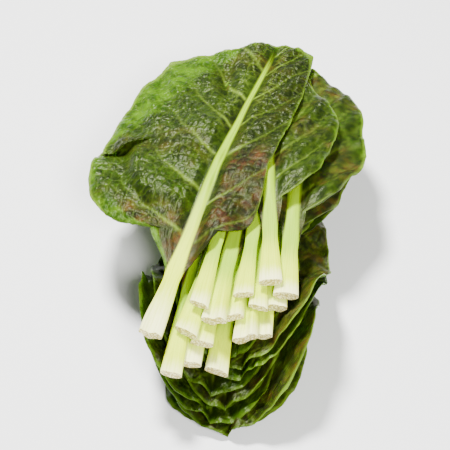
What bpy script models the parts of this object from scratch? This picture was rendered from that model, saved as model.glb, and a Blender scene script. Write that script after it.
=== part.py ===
"""A stack of loose, spoon-shaped salad leaves, as cut and packed.

The lower leaves lie with their tips to the front (-Y) and make a nest. The upper leaves lie
the other way round, with their cut stalks fanned in that nest and their blades to the back (+Y).
Every leaf is one closed solid. It starts as a flat grid of rows (cut end to tip) and columns (edge to
edge), is given an underside, and each vertex then goes to its place in the leaf. Leaves are laid one by
one, and each lies on the bed that the earlier ones make. Metres, +Z up, floor at Z = 0.
"""

import collections
import math

import bmesh
import bpy
import numpy as np

# Leaf, as it grows
LEAF_LENGTH = 0.232
BLADE_HALF_WIDTH = 0.054
STALK_SHARE = 0.34  # of the leaf's length, up to where the blade begins
WIDEST_SHARE = 0.46  # of the blade's length, where it is widest
WING_START = 0.50  # of the stalk's length, where the blade's narrow wings begin
STALK_HALF_WIDTH = 0.0068  # at the cut end
STALK_THICKNESS = 0.0062
RIB_HALF_WIDTH = 0.0034  # where the blade begins
RIB_THICKNESS = 0.0030
WING_WIDTH = 0.0040  # where the blade begins
RIB_TIP_SHARE = 0.15  # of the rib's width and thickness that is left at the leaf's tip
BLADE_THICKNESS = 0.0007
EDGE_RIPPLE = 0.035  # how far a blade's outline swings in and out, as a share of its radius
SKEW_REACH = 0.6  # of the way to the widest place: over this the right side takes up its lean and slant

# Stack, before it is centred over the origin
LOWER_LEAVES = 9
UPPER_LEAVES = 16
STACK_FRONT = -0.135  # Y of the foremost leaf tip
LOWER_STEP = 0.0050  # each lower leaf's tip lies this far behind the one under it
NEST_X = 0.008  # X of the nest's middle, and of the fan of stalks in it
NEST_BEND = 20.0  # per metre: how the lower leaves' sides bend up
NEST_BACK_Y = -0.025  # behind this the lower leaves lie flat
NEST_RISE = 0.055  # the nest reaches its full depth over this length
FAN_HALF_WIDTH = 0.030
FIRST_CUT_Y = -0.106  # Y of the lowest upper leaf's cut end
LAST_CUT_Y = -0.072  # and of the highest one's
CUT_SKEW = 0.017  # how much farther back the cut ends at the right of the fan lie
UPPER_TIP_Y = 0.118
TOP_LENGTH = 0.247
TOP_STALK = 0.070
TOP_CUT = (-0.032, -0.103)
TOP_HEADING = -10.5  # degrees
GAP = 0.0005  # clear height between a leaf and its bed
SEED = 11

# Grid of a leaf: rows in the stalk, in the blade up to its widest place, and in the tip; columns
HIDDEN_GRID = (4, 5, 3, 6)
SEEN_GRID = (5, 7, 4, 8)
TOP_GRID = (6, 9, 6, 10)
SEEN_UPPER_LEAVES = 3  # the ones right under the top leaf

# Bed: square cells that hold the height of the pile
CELL = 0.001
BED_HALF_X = 0.110
BED_HALF_Y = 0.170
FLAT_BEND = -60.0  # per metre: a blade that would bend down this much lies flat on its bed
STIFF_FROM = 0.6  # the leaf is stiff from edge to edge where it is this much of a stalk
SETTLE_PASSES = 40
RIB_PASSES = 20
CLEAR_PASSES = 3

# Colour, roughness and metallic value of each finish
FINISHES = {
    "leaf_green": ((0.050, 0.120, 0.022, 1.0), 0.42, 0.0),
    "leaf_purple": ((0.060, 0.050, 0.045, 1.0), 0.42, 0.0),
}


def smooth_step(x):
    """0 below 0, 1 above 1, and an S-curve between."""
    x = np.clip(x, 0.0, 1.0)
    return x * x * (3.0 - 2.0 * x)


# The leaf seen from above, for each grid point: X and Y, the share of the way from the rib's middle to
# the edge (minus at the left), the nearness to the edge, the angle round the blade and how much of a
# stalk the leaf is there
Plan = collections.namedtuple("Plan", "x y across edge angle stalkness")


class Leaf:
    """One leaf's own measures and where its cut end lies."""

    def __init__(self, name, cut, heading, length, draw):
        self.name = name
        self.cut = cut  # X and Y of the cut end
        self.heading = heading  # degrees from +Y, turning to -X
        self.grid = SEEN_GRID
        self.length = length
        self.half_width = BLADE_HALF_WIDTH * draw.uniform(0.68, 0.82)
        self.lean = draw.uniform(-0.15, 0.15)  # how much wider the left side is than the right one
        self.slant = 0.0  # how far the left side lies nearer the cut end than the right one
        self.wing_width = WING_WIDTH
        self.edge_ripple = EDGE_RIPPLE
        self.roundness = 0.5  # of the tip's corners: an ellipse at 0.5, blunter below it
        self.stalk = length * STALK_SHARE * draw.uniform(0.92, 1.06)
        self.stalk_size = draw.uniform(0.74, 1.0)  # share of the full stalk's width and thickness
        self.base_fullness = draw.uniform(0.7, 1.0)  # under 1 the blade widens fast from the stalk
        self.point = draw.uniform(0.0, 0.16)  # how far the tip is drawn out, as a share of its length
        self.edge_wave = draw.uniform(0.0005, 0.0014)
        self.wave_counts = draw.uniform(2.2, 3.4), draw.uniform(4.2, 5.6)
        self.wave_phases = draw.uniform(0.0, 6.28), draw.uniform(0.0, 6.28)
        self.side_slope = draw.uniform(-0.04, 0.08)  # rise of the blade beside the rib
        self.side_bend = draw.uniform(-2.6, -1.0)  # per metre: how the blade's sides bend up
        self.nested = False  # whether the sides bend about the nest's middle, not about the rib
        self.steepest = draw.uniform(0.16, 0.26)  # slope beyond which the rib doesn't bend down
        self.finish = "leaf_green"

    @property
    def widest(self):
        return self.stalk + WIDEST_SHARE * (self.length - self.stalk)

    def row_places(self):
        """For each row, its distance from the cut end at mid leaf, and how far it is into the tip, 0 to 1."""
        in_stalk, in_blade, in_tip, _ = self.grid
        along = np.concatenate([
            np.linspace(0.0, self.stalk, in_stalk, endpoint=False),
            np.linspace(self.stalk, self.widest, in_blade, endpoint=False),
            np.linspace(self.widest, self.length, in_tip + 1),
        ])
        into_tip = np.concatenate([np.zeros(in_stalk + in_blade), np.linspace(0.0, 1.0, in_tip + 1)])
        return along[:, None], into_tip[:, None]

    def rib(self, along):
        """Half width and thickness of the stalk and midrib at these distances from the cut end."""
        in_stalk = smooth_step(along / self.stalk)
        in_blade = np.clip((along - self.stalk) / (self.length - self.stalk), 0.0, 1.0)
        taper = 1.0 - (1.0 - RIB_TIP_SHARE) * in_blade
        half_width = (STALK_HALF_WIDTH + (RIB_HALF_WIDTH - STALK_HALF_WIDTH) * in_stalk) * taper
        thickness = (STALK_THICKNESS + (RIB_THICKNESS - STALK_THICKNESS) * in_stalk) * taper
        return half_width * self.stalk_size, thickness * self.stalk_size

    def wing(self, along):
        """Width of the blade beside the rib, on one side."""
        start = WING_START * self.stalk
        narrow = self.wing_width * smooth_step((along - start) / (self.stalk - start))
        into_blade = np.clip((along - self.stalk) / (self.widest - self.stalk), 0.0, 1.0)
        share = (1.0 - (1.0 - into_blade) ** 2) ** self.base_fullness
        return narrow + (self.half_width - self.wing_width - RIB_HALF_WIDTH) * share

    def across_places(self, along, stalkness):
        """Columns are even over a stalk. In the blade, the ones beside the middle run along the rib's edges."""
        columns = self.grid[3]
        even = np.linspace(-1.0, 1.0, columns + 1)[None, :]
        step = 2.0 / columns
        rib, _ = self.rib(along)
        rib_share = rib / (rib + self.wing(along))
        outside = np.clip((np.abs(even) - step) / (1.0 - step), 0.0, 1.0)
        in_blade = np.sign(even) * (rib_share + (1.0 - rib_share) * outside)
        in_blade[:, columns // 2] = 0.0
        return in_blade + (even - in_blade) * stalkness

    def late_skew(self, along):
        """How much of its lean and slant the right side has: none before the blade begins."""
        return smooth_step((along - self.stalk) / (self.widest - self.stalk) / SKEW_REACH)

    def plan(self):
        """The leaf seen from above, with its cut end at the origin and its tip towards +Y."""
        along, into_tip = self.row_places()
        width = self.rib(along)[0] + self.wing(along)
        stalkness = 1.0 - smooth_step((along / self.stalk - 0.45) / 0.75)
        across = self.across_places(along, stalkness)

        skew = np.where(across > 0.0, self.late_skew(along), 1.0 - stalkness)
        lean = 1.0 - self.lean * np.sign(across) * skew
        x = width * across * lean * np.sqrt(1.0 - into_tip**2 * self.roundness)
        tip_length = self.length - self.widest
        rise = into_tip * np.sqrt(1.0 - across**2 * self.roundness)
        rise = rise + self.point * into_tip**2 * (1.0 - np.abs(across)) ** 2
        y = np.minimum(along, self.widest) + tip_length * rise + self.slant * x * skew

        edge = np.sqrt(across**2 + into_tip**2 - across**2 * into_tip**2)
        edge = edge * smooth_step(width / self.half_width * 1.4)
        centre = self.stalk + 0.4 * (self.length - self.stalk)
        angle = np.arctan2(x, y - centre)
        ripple = 1.0 + self.edge_ripple * edge**3 * np.sin(self.wave_counts[1] * angle + self.wave_phases[1])
        return Plan(x * ripple, centre + (y - centre) * ripple, across, edge, angle, stalkness)

    def sheet(self, plan):
        """Thickness above and below the leaf's middle surface."""
        along, _ = self.row_places()
        half, thick = self.rib(along)
        from_rib = np.clip(np.abs(plan.across) * (half + self.wing(along)) / half, 0.0, 1.0)
        ridge = thick * (1.0 - from_rib**2)
        rounding = thick * np.sqrt(1.0 - 0.8 * plan.across**2)
        blade = BLADE_THICKNESS / 2.0
        above = (blade + 0.22 * ridge) * (1.0 - plan.stalkness) + 0.40 * rounding * plan.stalkness
        below = (blade + 0.62 * ridge) * (1.0 - plan.stalkness) + 0.60 * rounding * plan.stalkness
        return np.maximum(above, blade), np.maximum(below, blade)

    def in_stack(self, plan):
        """The plan's X and Y where the leaf lies."""
        turn = math.radians(self.heading)
        x = self.cut[0] + plan.x * math.cos(turn) - plan.y * math.sin(turn)
        y = self.cut[1] + plan.x * math.sin(turn) + plan.y * math.cos(turn)
        return x, y

    def free_height(self, plan, line):
        """Height of the leaf's middle surface where nothing bends it, for this height of the rib."""
        middle = self.grid[3] // 2
        if self.nested:
            world_x, world_y = self.in_stack(plan)
            from_middle = (world_x - NEST_X) ** 2
            rise = from_middle - from_middle[:, [middle]]
            rise = rise * smooth_step((NEST_BACK_Y - world_y) / NEST_RISE)
        else:
            rise = plan.x**2
        waves = np.sin(self.wave_counts[0] * plan.angle + self.wave_phases[0])
        waves = waves + 0.6 * np.sin(self.wave_counts[1] * plan.angle + self.wave_phases[1])
        height = line[:, None] + self.side_slope * np.abs(plan.x) + self.side_bend * rise
        height = height + self.edge_wave * (waves + 1.2) * plan.edge**2
        return np.where(plan.stalkness > STIFF_FROM, line[:, None], height)


def grid_mesh(leaf):
    """A flat, triangulated grid whose vertex places say their column (X) and row (Y)."""
    rows, columns = sum(leaf.grid[:3]), leaf.grid[3]
    mesh = bmesh.new()
    bmesh.ops.create_grid(mesh, x_segments=columns, y_segments=rows, size=1.0)
    for vertex in mesh.verts:
        vertex.co.x = round((vertex.co.x + 1.0) / 2.0 * columns)
        vertex.co.y = round((vertex.co.y + 1.0) / 2.0 * rows)
    bmesh.ops.triangulate(mesh, faces=mesh.faces[:])
    return mesh


def place_of(vertex):
    """Row and column of a grid vertex."""
    return round(vertex.co.y), round(vertex.co.x)


class Bed:
    """The height of the pile over square cells, from the floor up."""

    def __init__(self):
        self.columns = round(2 * BED_HALF_X / CELL) + 1
        self.rows = round(2 * BED_HALF_Y / CELL) + 1
        self.height = np.zeros((self.rows, self.columns))

    def cells_under(self, x, y, triangles):
        """The cells under a flat triangle mesh: their indices, the triangle's three corners and their weights."""
        u, v = (x + BED_HALF_X) / CELL, (y + BED_HALF_Y) / CELL
        cells, corners, weights = [], [], []
        for triangle in triangles:
            (u0, u1, u2), (v0, v1, v2) = u[triangle], v[triangle]
            area = (u1 - u0) * (v2 - v0) - (u2 - u0) * (v1 - v0)
            if abs(area) < 1e-9:
                continue
            across = np.arange(math.ceil(min(u0, u1, u2)), math.floor(max(u0, u1, u2)) + 1)
            up = np.arange(math.ceil(min(v0, v1, v2)), math.floor(max(v0, v1, v2)) + 1)
            cu, cv = (a.ravel() for a in np.meshgrid(across, up))
            w1 = ((cu - u0) * (v2 - v0) - (u2 - u0) * (cv - v0)) / area
            w2 = ((u1 - u0) * (cv - v0) - (cu - u0) * (v1 - v0)) / area
            inside = (w1 >= -1e-9) & (w2 >= -1e-9) & (w1 + w2 <= 1.0 + 1e-9)
            cells.append(cv[inside] * self.columns + cu[inside])
            corners.append(np.broadcast_to(triangle, (inside.sum(), 3)))
            weights.append(np.stack([1.0 - w1 - w2, w1, w2], axis=1)[inside])
        return np.concatenate(cells), np.concatenate(corners), np.concatenate(weights)

    def at(self, x, y):
        """Height of the bed under these points."""
        u = np.clip((x + BED_HALF_X) / CELL, 0, self.columns - 1.001)
        v = np.clip((y + BED_HALF_Y) / CELL, 0, self.rows - 1.001)
        iu, iv = u.astype(int), v.astype(int)
        fu, fv = u - iu, v - iv
        h = self.height
        low = h[iv, iu] * (1 - fu) + h[iv, iu + 1] * fu
        high = h[iv + 1, iu] * (1 - fu) + h[iv + 1, iu + 1] * fu
        return low * (1 - fv) + high * fv

    def add(self, cells, top):
        """Raises the bed to this top surface, spread by one cell to each side."""
        layer = np.zeros(self.height.size)
        np.maximum.at(layer, cells, top + GAP)
        layer = layer.reshape(self.height.shape)
        for axis in (0, 1):
            layer = np.maximum(layer, np.maximum(np.roll(layer, 1, axis), np.roll(layer, -1, axis)))
        self.height = np.maximum(self.height, layer)


def neighbour_mean(z):
    """Mean of each grid point's neighbours along its row and its column."""
    padded = np.pad(z, 1, mode="reflect", reflect_type="odd")
    return (padded[2:, 1:-1] + padded[:-2, 1:-1] + padded[1:-1, 2:] + padded[1:-1, :-2]) / 4.0


def rib_line(leaf, rest):
    """Height of the rib's middle: a stiff line that lies on its rests."""
    along = leaf.row_places()[0].ravel()
    line = rest.copy()
    for i in range(len(line)):  # straight over every hollow
        for j in range(i + 2, len(line)):
            share = (along[i + 1:j] - along[i]) / (along[j] - along[i])
            line[i + 1:j] = np.maximum(line[i + 1:j], rest[i] + (rest[j] - rest[i]) * share)
    reach = np.abs(along[:, None] - along[None, :])
    line = (line[None, :] - leaf.steepest * reach).max(axis=1)
    for _ in range(RIB_PASSES):
        line[1:-1] = np.maximum(rest[1:-1], line[1:-1] / 2.0 + (line[2:] + line[:-2]) / 4.0)
    return line


def settle(free, rest):
    """The leaf's own shape, bent up smoothly where it lies on something."""
    z = np.maximum(free, rest)
    for _ in range(SETTLE_PASSES):
        z = np.maximum(rest, z * 0.7 + (free + neighbour_mean(z)) * 0.15)
    return z


def lay(leaf, bed, triangles):
    """Lays the leaf on the bed and returns the places of its top and underside, in its own frame."""
    plan = leaf.plan()
    above, below = leaf.sheet(plan)
    world_x, world_y = leaf.in_stack(plan)
    rest = bed.at(world_x, world_y) + below
    middle = leaf.grid[3] // 2
    stiff = plan.stalkness > STIFF_FROM
    rest = np.where(stiff, rest.max(axis=1, keepdims=True), rest)
    line = rib_line(leaf, rest[:, middle - 1:middle + 2].max(axis=1))
    z = settle(leaf.free_height(plan, line), rest)

    slope = np.gradient(z - below, axis=1) / np.gradient(plan.x, axis=1)
    thicker = (np.hypot(1.0, slope) - 1.0) * BLADE_THICKNESS / 2.0 * (1.0 - plan.stalkness)
    above, below = above + thicker, below + thicker

    cells, corners, weights = bed.cells_under(world_x.ravel(), world_y.ravel(), triangles)
    z = lift_clear(z, below, bed.height.ravel()[cells], corners, weights)
    bed.add(cells, ((z + above).ravel()[corners] * weights).sum(axis=1))
    return np.stack([plan.x, plan.y, z + above], axis=-1), np.stack([plan.x, plan.y, z - below], axis=-1)


def lift_clear(z, below, floor, corners, weights):
    """Lifts the leaf's points until its whole underside is clear of the bed."""
    share = weights / (weights**2).sum(axis=1, keepdims=True)
    for _ in range(CLEAR_PASSES):
        short = floor - ((z - below).ravel()[corners] * weights).sum(axis=1)
        lift = np.zeros(z.size)
        np.maximum.at(lift, corners, np.maximum(short, 0.0)[:, None] * share)
        z = z + lift.reshape(z.shape)
    return z


def build_leaf(leaf, bed, collection, materials):
    """Makes one leaf's solid and sets it in its place in the stack."""
    mesh = grid_mesh(leaf)
    columns = leaf.grid[3]
    triangles = np.array([[r * (columns + 1) + c for r, c in map(place_of, face.verts)] for face in mesh.faces])
    top, underside = lay(leaf, bed, triangles)

    extruded = bmesh.ops.extrude_face_region(mesh, geom=mesh.faces[:])
    lifted = {item for item in extruded["geom"] if isinstance(item, bmesh.types.BMVert)}
    for vertex in mesh.verts:
        side = top if vertex in lifted else underside
        vertex.co = side[place_of(vertex)]
    bmesh.ops.triangulate(mesh, faces=[face for face in mesh.faces if len(face.verts) > 3])
    bmesh.ops.recalc_face_normals(mesh, faces=mesh.faces[:])

    data = bpy.data.meshes.new(leaf.name)
    mesh.to_mesh(data)
    mesh.free()
    data.shade_smooth()
    data.set_sharp_from_angle(angle=math.radians(50))
    data.materials.append(materials[leaf.finish])
    blade = bpy.data.objects.new(leaf.name, data)
    blade.location = (*leaf.cut, 0.0)
    blade.rotation_euler.z = math.radians(leaf.heading)
    collection.objects.link(blade)
    return blade


def lower_leaves(draw):
    """The nest: tips to the front, sides turned up, each tip a little behind the one under it."""
    leaves = []
    for i in range(LOWER_LEAVES):
        heading = 180.0 + draw.uniform(-5.0, 5.0)
        length = LEAF_LENGTH * draw.uniform(0.84, 0.95)
        tip_x = NEST_X + draw.uniform(-0.010, 0.010)
        tip_y = STACK_FRONT + LOWER_STEP * i
        turn = math.radians(heading)
        cut = (tip_x + length * math.sin(turn), tip_y - length * math.cos(turn))
        leaf = Leaf(f"lower_leaf_{i + 1:02d}", cut, heading, length, draw)
        leaf.lean = 0.0
        leaf.point = 0.0
        leaf.roundness = 0.42
        leaf.side_slope = 0.0
        leaf.side_bend = NEST_BEND * draw.uniform(0.9, 1.1)
        leaf.nested = True
        leaf.finish = "leaf_purple" if i % 3 == 1 else "leaf_green"
        leaves.append(leaf)
    set_floor_leaf(leaves[0])
    return leaves


def set_floor_leaf(leaf):
    """The leaf that the stack rests on: flat on the floor, with its tip behind the next one's."""
    leaf.side_bend = FLAT_BEND
    leaf.cut = (leaf.cut[0], leaf.cut[1] + 2.0 * LOWER_STEP)


def upper_leaves(draw):
    """The fan: cut stalks side by side at the front, blades over each other at the back."""
    leaves = []
    for i in range(UPPER_LEAVES):
        lane = ((i * 0.618 + 0.2) % 1.0) * 2.0 - 1.0  # sends leaves that follow each other to different lanes
        up = i / (UPPER_LEAVES - 1)
        cut_y = FIRST_CUT_Y + (LAST_CUT_Y - FIRST_CUT_Y) * up + CUT_SKEW * lane + draw.uniform(-0.008, 0.008)
        heading = 5.0 * lane + draw.uniform(-4.0, 4.0)
        length = UPPER_TIP_Y - cut_y + draw.uniform(-0.010, 0.010)
        leaf = Leaf(f"upper_leaf_{i + 1:02d}", (NEST_X + FAN_HALF_WIDTH * lane, cut_y), heading, length, draw)
        if i < UPPER_LEAVES - 1 - SEEN_UPPER_LEAVES:
            leaf.grid = HIDDEN_GRID
        leaf.finish = "leaf_purple" if i % 3 == 0 else "leaf_green"
        leaves.append(leaf)
    set_top_leaf(leaves[-1])
    return leaves


def set_top_leaf(leaf):
    """The leaf that lies on top: the longest and broadest, slantwise, its stalk to the left of the fan."""
    leaf.name = "top_leaf"
    leaf.grid = TOP_GRID
    leaf.cut = TOP_CUT
    leaf.heading = TOP_HEADING
    leaf.length = TOP_LENGTH
    leaf.half_width = BLADE_HALF_WIDTH
    leaf.stalk = TOP_STALK
    leaf.stalk_size = 0.94
    leaf.lean = 0.41
    leaf.slant = 0.33
    leaf.wing_width = 0.013
    leaf.roundness = 0.30
    leaf.edge_ripple = 0.012
    leaf.base_fullness = 0.55
    leaf.edge_wave = 0.0024
    leaf.wave_counts = 2.6, 4.6
    leaf.wave_phases = 4.4, 5.4
    leaf.side_slope = -0.03
    leaf.side_bend = -2.2
    leaf.point = 0.0
    leaf.finish = "leaf_green"


def make_material(name, colour, roughness, metallic):
    material = bpy.data.materials.new(name)
    material.use_nodes = True
    material.diffuse_color = colour
    shader = material.node_tree.nodes["Principled BSDF"]
    shader.inputs["Base Color"].default_value = colour
    shader.inputs["Roughness"].default_value = roughness
    shader.inputs["Metallic"].default_value = metallic
    return material


def centre_over_origin(objects):
    """Moves the stack so that its box is centred over the origin."""
    bpy.context.view_layer.update()
    corners = np.array([obj.matrix_world @ v.co for obj in objects for v in obj.data.vertices])
    middle = (corners.min(axis=0) + corners.max(axis=0)) / 2.0
    for obj in objects:
        obj.location.x -= middle[0]
        obj.location.y -= middle[1]


def main():
    for obj in list(bpy.data.objects):
        bpy.data.objects.remove(obj)
    collection = bpy.data.collections.new("leaf_stack")
    bpy.context.scene.collection.children.link(collection)
    materials = {name: make_material(name, *finish) for name, finish in FINISHES.items()}

    draw = np.random.RandomState(SEED)
    bed = Bed()
    leaves = lower_leaves(draw) + upper_leaves(draw)
    centre_over_origin([build_leaf(leaf, bed, collection, materials) for leaf in leaves])


main()
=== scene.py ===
import math

import bmesh
import bpy
import numpy as np
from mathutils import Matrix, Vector
from mathutils.bvhtree import BVHTree


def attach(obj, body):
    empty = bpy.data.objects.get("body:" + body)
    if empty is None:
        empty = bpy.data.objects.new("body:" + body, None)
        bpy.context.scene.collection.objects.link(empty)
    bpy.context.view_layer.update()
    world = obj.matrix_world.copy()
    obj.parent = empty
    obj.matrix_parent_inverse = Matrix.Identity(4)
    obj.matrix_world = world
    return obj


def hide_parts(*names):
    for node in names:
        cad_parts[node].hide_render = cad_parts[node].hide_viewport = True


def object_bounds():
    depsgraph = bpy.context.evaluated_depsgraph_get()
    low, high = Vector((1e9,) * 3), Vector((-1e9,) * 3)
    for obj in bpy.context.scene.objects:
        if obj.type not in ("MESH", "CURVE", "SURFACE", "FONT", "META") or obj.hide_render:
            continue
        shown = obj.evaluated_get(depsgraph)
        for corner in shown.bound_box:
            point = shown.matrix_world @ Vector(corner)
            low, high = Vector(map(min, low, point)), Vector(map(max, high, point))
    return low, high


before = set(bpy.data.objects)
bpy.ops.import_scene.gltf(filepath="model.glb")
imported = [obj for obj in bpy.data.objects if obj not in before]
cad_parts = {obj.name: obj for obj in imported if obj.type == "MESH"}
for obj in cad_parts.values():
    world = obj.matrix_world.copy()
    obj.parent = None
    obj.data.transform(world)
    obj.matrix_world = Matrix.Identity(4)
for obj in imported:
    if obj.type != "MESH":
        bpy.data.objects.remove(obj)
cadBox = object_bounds()

# The leaves repeat the plan of the solids: same measures, same seeded draws. Their heights are then read
# off the solids, and the fine surface is laid over those.

leafPlan = {
    "length": 0.232,  # metres, as everywhere here
    "halfWidth": 0.054,
    "stalkShare": 0.34,  # of the length
    "widestShare": 0.46,  # of the blade, from its base to its widest place
    "wingStart": 0.50,  # of the stalk: from here up it has a narrow wing of blade
    "wingWidth": 0.0040,
    "stalkHalfWidth": 0.0068,
    "stalkThickness": 0.0062,
    "ribHalfWidth": 0.0034,
    "ribThickness": 0.0030,
    "ribTipShare": 0.15,  # how much of the midrib is left at the tip
    "edgeRipple": 0.035,
    "skewReach": 0.6,  # a leaning blade takes its lean over this share of its lower part
}

stackPlan = {
    "lowerLeaves": 9,
    "upperLeaves": 16,  # with the top leaf, which is the last of them
    "front": -0.135,  # the lowest tip, and how far each next one steps back
    "lowerStep": 0.0050,
    "nestX": 0.008,
    "fanHalfWidth": 0.030,
    "firstCutY": -0.106,
    "lastCutY": -0.072,
    "cutSkew": 0.017,
    "upperTipY": 0.118,
    "seed": 11,
    "hiddenGrid": (4, 5, 3, 6),  # rows in the stalk, in the blade, in the tip; columns
    "seenGrid": (5, 7, 4, 8),
    "seenUpperLeaves": 3,
}

topPlan = {
    "name": "top_leaf",
    "grid": (6, 9, 6, 10),
    "cut": (-0.032, -0.103),
    "heading": -10.5,
    "length": 0.247,
    "halfWidth": leafPlan["halfWidth"],
    "stalk": 0.070,
    "stalkSize": 0.94,
    "lean": 0.41,  # the left half is this much wider, the right half this much narrower
    "slant": 0.33,  # its right side lies this much further on than its left
    "wingWidth": 0.013,
    "roundness": 0.30,
    "edgeRipple": 0.012,
    "rippleCount": 4.6,
    "ripplePhase": 5.4,
    "baseFullness": 0.55,
    "point": 0.0,
    "purple": False,
    "swell": 0.3,
}


def smoothStep(x):
    x = np.clip(x, 0.0, 1.0)
    return x * x * (3.0 - 2.0 * x)


def ease(x, start, reach):
    # 0 up to the start, 1 from a reach further on
    return smoothStep((x - start) / reach)


def mix(a, b, share):
    return a + (b - a) * share


def hump(x, width, power=2):
    # 1 at x = 0, falling to nothing a few widths away
    return np.exp(-((x / width) ** power))


class Leaf:
    def __init__(self, name, cut, heading, length, draw):
        self.name = name
        self.cut = cut
        self.heading = heading  # degrees from +Y, turning to -X
        self.grid = stackPlan["seenGrid"]
        self.length = length
        self.halfWidth = leafPlan["halfWidth"] * draw.uniform(0.68, 0.82)
        self.lean = draw.uniform(-0.15, 0.15)
        self.slant = 0.0
        self.wingWidth = leafPlan["wingWidth"]
        self.edgeRipple = leafPlan["edgeRipple"]
        self.roundness = 0.5
        self.stalk = length * leafPlan["stalkShare"] * draw.uniform(0.92, 1.06)
        self.stalkSize = draw.uniform(0.74, 1.0)
        self.baseFullness = draw.uniform(0.7, 1.0)
        self.point = draw.uniform(0.0, 0.16)
        draw.uniform(size=2)  # draws for the leaf's height, which the solids hold
        self.rippleCount = draw.uniform(4.2, 5.6)
        draw.uniform()
        self.ripplePhase = draw.uniform(0.0, 6.28)
        draw.uniform(size=3)
        self.purple = False
        self.swell = 1.0  # how much its stalk flares and narrows
        self.offset = (0.0, 0.0)  # the middle of the stack's plan, once it is known

    def widest(self):
        return self.stalk + leafPlan["widestShare"] * (self.length - self.stalk)

    def rows(self, inStalk, inBlade, inTip):
        along = np.concatenate([
            np.linspace(0.0, self.stalk, inStalk, endpoint=False),
            np.linspace(self.stalk, self.widest(), inBlade, endpoint=False),
            np.linspace(self.widest(), self.length, inTip + 1),
        ])
        intoTip = np.concatenate([np.zeros(inStalk + inBlade), np.linspace(0.0, 1.0, inTip + 1)])
        return along[:, None], intoTip[:, None]

    def rib(self, along):
        inStalk = smoothStep(along / self.stalk)
        inBlade = np.clip((along - self.stalk) / (self.length - self.stalk), 0.0, 1.0)
        taper = 1.0 - (1.0 - leafPlan["ribTipShare"]) * inBlade
        half = mix(leafPlan["stalkHalfWidth"], leafPlan["ribHalfWidth"], inStalk) * taper
        thick = mix(leafPlan["stalkThickness"], leafPlan["ribThickness"], inStalk) * taper
        return half * self.stalkSize, thick * self.stalkSize

    def wing(self, along):
        start = leafPlan["wingStart"] * self.stalk
        narrow = self.wingWidth * smoothStep((along - start) / (self.stalk - start))
        intoBlade = np.clip((along - self.stalk) / (self.widest() - self.stalk), 0.0, 1.0)
        share = (1.0 - (1.0 - intoBlade) ** 2) ** self.baseFullness
        return narrow + (self.halfWidth - self.wingWidth - leafPlan["ribHalfWidth"]) * share

    def lay(self, along, intoTip, even):
        # where the grid's rows and columns come in the flat leaf, cut end at the origin and tip towards +Y
        rib, _ = self.rib(along)
        width = rib + self.wing(along)
        stalkness = 1.0 - smoothStep((along / self.stalk - 0.45) / 0.75)
        step = 2.0 / self.grid[3]
        outside = np.clip((np.abs(even) - step) / (1.0 - step), 0.0, 1.0)
        inRib = rib / width * np.clip(np.abs(even) / step, 0.0, 1.0)
        inBlade = np.sign(even) * (inRib + (1.0 - rib / width) * outside)
        across = mix(inBlade, even, stalkness)

        late = smoothStep((along - self.stalk) / (self.widest() - self.stalk) / leafPlan["skewReach"])
        skew = np.where(across > 0.0, late, 1.0 - stalkness)
        lean = 1.0 - self.lean * np.sign(across) * skew
        x = width * across * lean * np.sqrt(1.0 - intoTip**2 * self.roundness)
        tipLength = self.length - self.widest()
        rise = intoTip * np.sqrt(1.0 - across**2 * self.roundness)
        rise = rise + self.point * intoTip**2 * (1.0 - np.abs(across)) ** 2
        y = np.minimum(along, self.widest()) + tipLength * rise + self.slant * x * skew

        edge = np.sqrt(across**2 + intoTip**2 - across**2 * intoTip**2)
        edge = edge * smoothStep(width / self.halfWidth * 1.4)
        centre = self.stalk + 0.4 * (self.length - self.stalk)
        angle = np.arctan2(x, y - centre)
        ripple = 1.0 + self.edgeRipple * edge**3 * np.sin(self.rippleCount * angle + self.ripplePhase)
        return {
            "x": x * ripple, "y": centre + (y - centre) * ripple, "across": across, "edge": edge,
            "angle": angle, "stalkness": stalkness + 0.0 * x, "along": along + 0.0 * x,
            "rib": rib + 0.0 * x, "width": width * lean,
        }

    def inStack(self, x, y):
        turn = math.radians(self.heading)
        return (
            self.cut[0] + x * math.cos(turn) - y * math.sin(turn) - self.offset[0],
            self.cut[1] + x * math.sin(turn) + y * math.cos(turn) - self.offset[1],
        )


def lowerLeaves(draw):
    leaves = []
    for i in range(stackPlan["lowerLeaves"]):
        heading = 180.0 + draw.uniform(-5.0, 5.0)
        length = leafPlan["length"] * draw.uniform(0.84, 0.95)
        tipX = stackPlan["nestX"] + draw.uniform(-0.010, 0.010)
        tipY = stackPlan["front"] + stackPlan["lowerStep"] * i
        turn = math.radians(heading)
        cut = (tipX + length * math.sin(turn), tipY - length * math.cos(turn))
        leaf = Leaf(f"lower_leaf_{i + 1:02d}", cut, heading, length, draw)
        leaf.lean = 0.0
        leaf.point = 0.0
        leaf.roundness = 0.42
        draw.uniform()  # the nest's bend, which the solids hold
        leaf.purple = i % 3 == 1
        leaves.append(leaf)
    leaves[0].cut = (leaves[0].cut[0], leaves[0].cut[1] + 2.0 * stackPlan["lowerStep"])
    return leaves


def upperLeaves(draw):
    leaves = []
    count = stackPlan["upperLeaves"]
    for i in range(count):
        lane = ((i * 0.618 + 0.2) % 1.0) * 2.0 - 1.0
        cutY = mix(stackPlan["firstCutY"], stackPlan["lastCutY"], i / (count - 1))
        cutY = cutY + stackPlan["cutSkew"] * lane + draw.uniform(-0.008, 0.008)
        heading = 5.0 * lane + draw.uniform(-4.0, 4.0)
        length = stackPlan["upperTipY"] - cutY + draw.uniform(-0.010, 0.010)
        cut = (stackPlan["nestX"] + stackPlan["fanHalfWidth"] * lane, cutY)
        leaf = Leaf(f"upper_leaf_{i + 1:02d}", cut, heading, length, draw)
        if i < count - 1 - stackPlan["seenUpperLeaves"]:
            leaf.grid = stackPlan["hiddenGrid"]
        leaf.purple = i % 3 == 0
        leaves.append(leaf)
    for setting, value in topPlan.items():
        setattr(leaves[-1], setting, value)
    return leaves


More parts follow.
